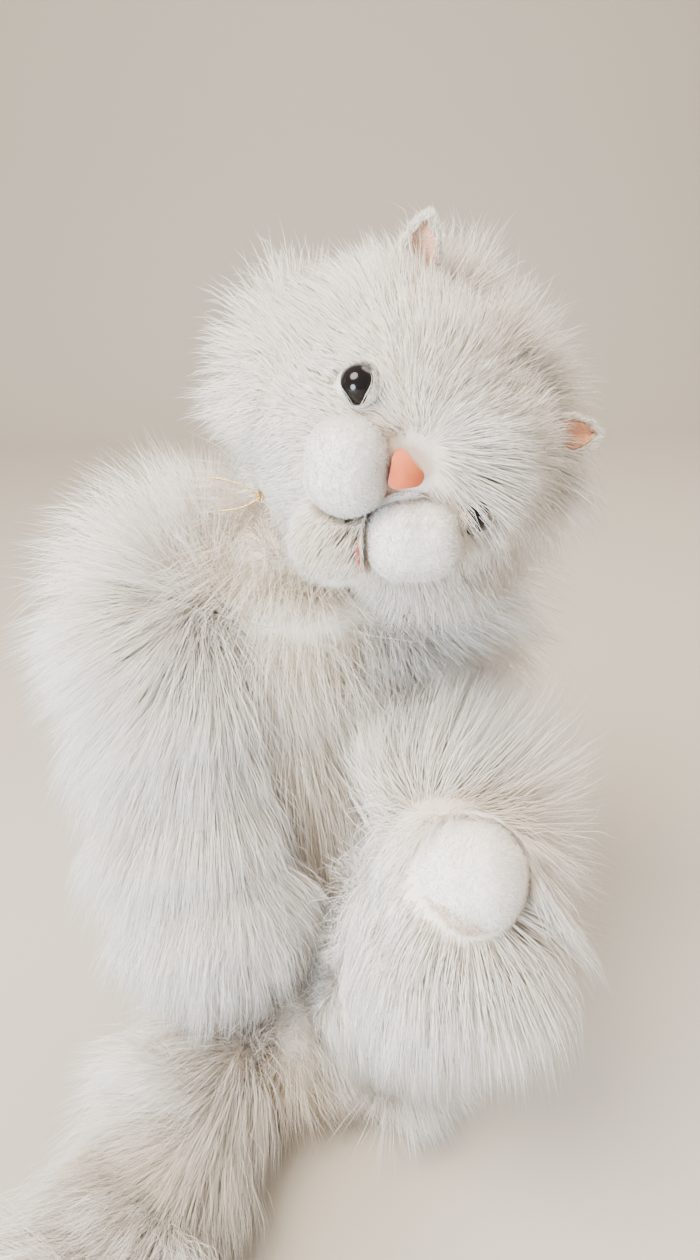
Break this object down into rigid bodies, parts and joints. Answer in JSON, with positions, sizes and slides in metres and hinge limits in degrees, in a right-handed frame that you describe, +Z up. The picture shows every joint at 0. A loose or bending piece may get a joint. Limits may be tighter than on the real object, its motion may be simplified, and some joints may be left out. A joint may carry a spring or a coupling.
{
  "type": "plush cat",
  "caption": "Sitting long-haired plush cat with disc-jointed arms and legs, a jointed neck, puffy muzzle and sole pads, and a swinging tail.",
  "frame": {"origin": "middle of the flat seat, on the surface the cat sits on", "axes": "+Z up, the cat faces -Y, +X is the cat's left side"},
  "size_m": [0.2226, 0.3639, 0.3697],
  "materials": {
    "long_fur": "long soft pile, combed, slightly clumped, warm white",
    "short_plush": "short dense plush, cream white",
    "ear_lining": "short peach velour",
    "polyester_filling": "loose white polyester fibre",
    "bag_cloth": "woven cotton",
    "sewing_thread": "twisted polyester thread",
    "mouth_thread": "twisted embroidery thread",
    "gold_thread": "fine metallic thread",
    "black_eye": "polished, deep black",
    "pink_nose": "polished peach pink",
    "white_plastic": "moulded, matt",
    "hardboard": "pressed fibre board, smooth one side",
    "steel": "zinc-plated wire and sheet"
  },
  "bodies": {
    "torso": {"torso_pelt": "long_fur", "torso_filling": "polyester_filling", "pellet_bag": "bag_cloth", "back_seam": "sewing_thread", "torso_shoulder_discs": "hardboard", "torso_hip_discs": "hardboard", "torso_washers": "steel", "torso_neck_disc": "hardboard"},
    "neck_link": {"neck_eye_pin": "steel", "neck_washer": "steel"},
    "head": {"head_pelt": "long_fur", "head_filling": "polyester_filling", "head_neck_disc": "hardboard", "head_neck_washer": "steel", "head_eye_pin": "steel", "right_ear_back": "long_fur", "right_ear_lining": "ear_lining", "left_ear_back": "long_fur", "left_ear_lining": "ear_lining", "right_eye": "black_eye", "left_eye": "black_eye", "eye_lock_washers": "white_plastic", "nose": "pink_nose", "nose_lock_washer": "white_plastic", "right_muzzle_pad": "short_plush", "left_muzzle_pad": "short_plush", "chin_pad": "short_plush", "mouth_stitch": "mouth_thread", "neck_cord": "gold_thread"},
    "right_arm": {"right_arm_pelt": "long_fur", "right_arm_filling": "polyester_filling", "right_arm_disc": "hardboard", "right_arm_washer": "steel", "right_arm_cotter": "steel"},
    "left_arm": {"left_arm_pelt": "long_fur", "left_arm_filling": "polyester_filling", "left_arm_disc": "hardboard", "left_arm_washer": "steel", "left_arm_cotter": "steel"},
    "right_leg": {"right_leg_pelt": "long_fur", "right_leg_filling": "polyester_filling", "right_leg_disc": "hardboard", "right_leg_washer": "steel", "right_leg_cotter": "steel", "right_sole_pad": "short_plush"},
    "left_leg": {"left_leg_pelt": "long_fur", "left_leg_filling": "polyester_filling", "left_leg_disc": "hardboard", "left_leg_washer": "steel", "left_leg_cotter": "steel", "left_sole_pad": "short_plush"},
    "tail": {"tail_pelt": "long_fur", "tail_filling": "polyester_filling"}
  },
  "joints": [
    {"name": "neck_turn", "type": "hinge", "parent": "torso", "child": "neck_link", "pos_m": [0.007, -0.01649, 0.26628], "axis": [0, -0.4067, 0.9135], "range_deg": [-45, 45]},
    {"name": "head_tilt", "type": "hinge", "parent": "neck_link", "child": "head", "pos_m": [0.007, -0.01649, 0.26628], "axis": [0, 0.9135, 0.4067], "range_deg": [-88, 3]},
    {"name": "right_arm_swing", "type": "hinge", "parent": "torso", "child": "right_arm", "pos_m": [-0.02603, -0.00785, 0.224], "axis": [-0.9659, -0.2588, 0], "range_deg": [-50, 100]},
    {"name": "left_arm_swing", "type": "hinge", "parent": "torso", "child": "left_arm", "pos_m": [0.04004, 0.00985, 0.224], "axis": [-0.9659, -0.2588, 0], "range_deg": [-60, 12]},
    {"name": "right_leg_lift", "type": "hinge", "parent": "torso", "child": "right_leg", "pos_m": [-0.013, -0.0505, 0.027], "axis": [-1, 0, 0], "range_deg": [0, 55]},
    {"name": "left_leg_lift", "type": "hinge", "parent": "torso", "child": "left_leg", "pos_m": [0.013, -0.0505, 0.027], "axis": [-1, 0, 0], "range_deg": [-69, 6]},
    {"name": "tail_swing", "type": "hinge", "parent": "torso", "child": "tail", "pos_m": [0, 0.04861, 0.014], "axis": [0, 0, 1], "range_deg": [-30, 30]}
  ]
}
